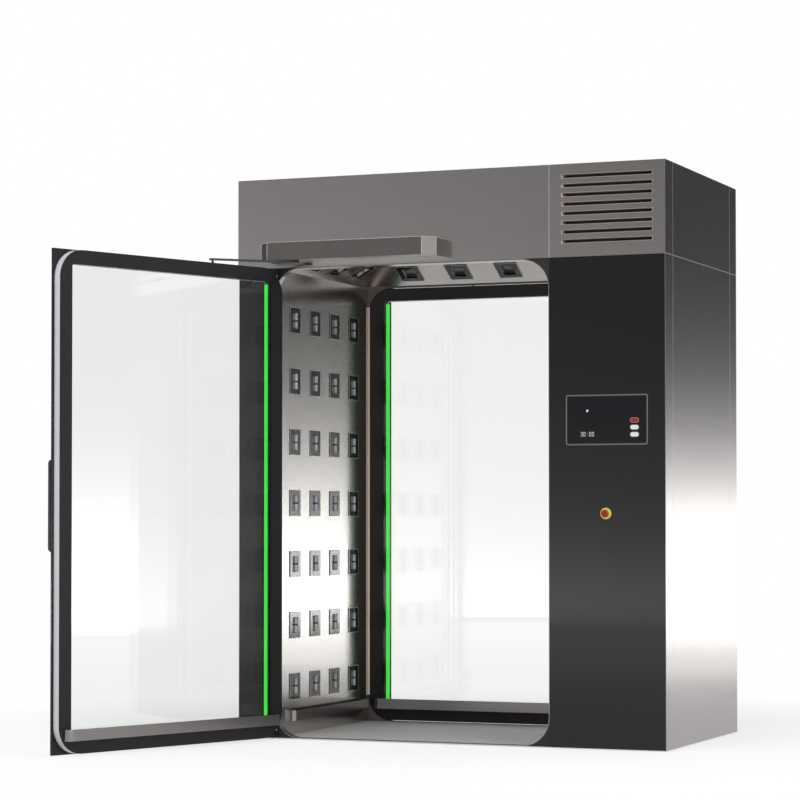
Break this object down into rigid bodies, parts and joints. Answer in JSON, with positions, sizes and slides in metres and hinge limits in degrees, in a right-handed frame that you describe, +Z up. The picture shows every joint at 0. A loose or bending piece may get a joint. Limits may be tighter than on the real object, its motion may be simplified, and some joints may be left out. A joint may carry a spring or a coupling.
{
  "type": "cleanroom pass box",
  "caption": "Walk-in cleanroom pass box: stainless lamp-lined chamber between two swinging glass doors, with slide-arm door operators and a black control column.",
  "frame": {"origin": "centre of the cabinet footprint, on the floor", "axes": "+Z up, front (open door, screen and emergency stop) faces -Y, the control column is at +X"},
  "size_m": [2.2164, 2.4042, 2.4],
  "materials": {
    "brushed_stainless": "brushed along the width",
    "chamber_stainless": "fine satin",
    "black_paint": "satin black",
    "black_glass": "polished, back-painted black",
    "clear_glass": "polished",
    "door_seal": "smooth, pale grey",
    "status_light": "lit green diffuser",
    "dark_metal": "satin dark grey",
    "slide_plastic": "matt",
    "drive_metal": "cast",
    "lamp_bezel": "satin black with a bright edge",
    "lamp_reflector": "mirror polished",
    "lamp_window": "blue-grey filter glass",
    "lamp_case": "matt",
    "screen_frame": "satin grey",
    "screen_face": "dark display glass",
    "fitting_plastic": "matt",
    "stop_yellow": "gloss",
    "stop_red": "gloss",
    "fan_plastic": "matt",
    "duct_metal": "primed",
    "filter_cloth": "non-woven",
    "control_units": "matt"
  },
  "bodies": {
    "cabinet": {"base_plate": "chamber_stainless", "bumper_rails": "chamber_stainless", "ceiling_tray": "chamber_stainless", "column_front_panel": "black_glass", "column_rear_panel": "black_glass", "control_panel": "control_units", "corner_strips": "brushed_stainless", "fan_housing": "duct_metal", "front_fascia": "brushed_stainless", "front_frame": "black_paint", "front_jamb_liner": "chamber_stainless", "front_operator_case": "brushed_stainless", "front_operator_drive": "drive_metal", "lamp_bezels": "lamp_bezel", "lamp_housings": "lamp_case", "lamp_reflectors": "lamp_reflector", "lamp_windows": "lamp_window", "left_side_panels": "brushed_stainless", "left_wall": "chamber_stainless", "pivot_brackets": "dark_metal", "post_panels": "black_paint", "rear_fascia": "brushed_stainless", "rear_frame": "black_paint", "rear_jamb_liner": "chamber_stainless", "rear_operator_case": "brushed_stainless", "rear_operator_drive": "drive_metal", "right_side_panels": "brushed_stainless", "right_wall": "chamber_stainless", "screen": "screen_face", "screen_bezel": "screen_frame", "screen_housing": "fitting_plastic", "stop_contact_block": "fitting_plastic", "stop_ring": "stop_yellow", "top_cover": "brushed_stainless", "vent_filter": "filter_cloth", "vent_panel": "brushed_stainless"},
    "front_door": {"front_outer_glass": "clear_glass", "front_leaf_frame": "black_paint", "front_leaf_seal": "door_seal", "front_inner_glass": "clear_glass", "front_led_strip": "status_light", "front_kick_rail": "chamber_stainless", "front_handle": "dark_metal", "front_closer_track": "dark_metal"},
    "rear_door": {"rear_outer_glass": "clear_glass", "rear_leaf_frame": "black_paint", "rear_leaf_seal": "door_seal", "rear_inner_glass": "clear_glass", "rear_led_strip": "status_light", "rear_kick_rail": "chamber_stainless", "rear_handle": "dark_metal", "rear_closer_track": "dark_metal"},
    "front_arm": {"front_arm": "dark_metal"},
    "rear_arm": {"rear_arm": "dark_metal"},
    "front_shoe": {"front_shoe": "slide_plastic"},
    "rear_shoe": {"rear_shoe": "slide_plastic"},
    "stop_stem": {"stop_stem": "fitting_plastic"},
    "stop_cap": {"stop_cap": "stop_red"},
    "fan_rotor": {"fan_impeller": "fan_plastic"}
  },
  "joints": [
    {"name": "front_door_swing", "type": "hinge", "parent": "cabinet", "child": "front_door", "pos_m": [-0.784, -0.547, 0], "axis": [0, 0, 1], "range_deg": [0, 110.4]},
    {"name": "rear_door_swing", "type": "hinge", "parent": "cabinet", "child": "rear_door", "pos_m": [-0.784, 0.547, 0], "axis": [0, 0, 1], "range_deg": [0, 110.4]},
    {"name": "front_arm_turn", "type": "hinge", "parent": "cabinet", "child": "front_arm", "pos_m": [-0.6555, -0.617, 0], "axis": [0, 0, 1], "range_deg": [0, 145.21]},
    {"name": "rear_arm_turn", "type": "hinge", "parent": "cabinet", "child": "rear_arm", "pos_m": [-0.6555, 0.617, 0], "axis": [0, 0, 1], "range_deg": [0, 145.21]},
    {"name": "front_shoe_slide", "type": "slide", "parent": "front_door", "child": "front_shoe", "axis": [-0.3486, -0.9373, 0], "range_m": [0, 0.14497]},
    {"name": "rear_shoe_slide", "type": "slide", "parent": "rear_door", "child": "rear_shoe", "axis": [-1, 0, 0], "range_m": [0, 0.14497]},
    {"name": "stop_push", "type": "slide", "parent": "cabinet", "child": "stop_stem", "axis": [0, 1, 0], "range_m": [0, 0.005]},
    {"name": "stop_twist", "type": "hinge", "parent": "stop_stem", "child": "stop_cap", "pos_m": [0.7035, -0.547, 0.962], "axis": [0, 1, 0], "range_deg": [0, 45], "stiffness_Nm_per_rad": 0.02},
    {"name": "fan_spin", "type": "hinge", "parent": "cabinet", "child": "fan_rotor", "pos_m": [0.7085, -0.417, 2.2145], "axis": [0, -1, 0], "continuous": true}
  ],
  "couplings": [
    {"joint": "front_arm_turn", "follows": "front_door_swing", "ratio": 1.3148},
    {"joint": "rear_arm_turn", "follows": "rear_door_swing", "ratio": 1.3148},
    {"joint": "front_shoe_slide", "follows": "front_door_swing", "m_per_rad": 0.075188},
    {"joint": "rear_shoe_slide", "follows": "rear_door_swing", "m_per_rad": 0.075188}
  ]
}
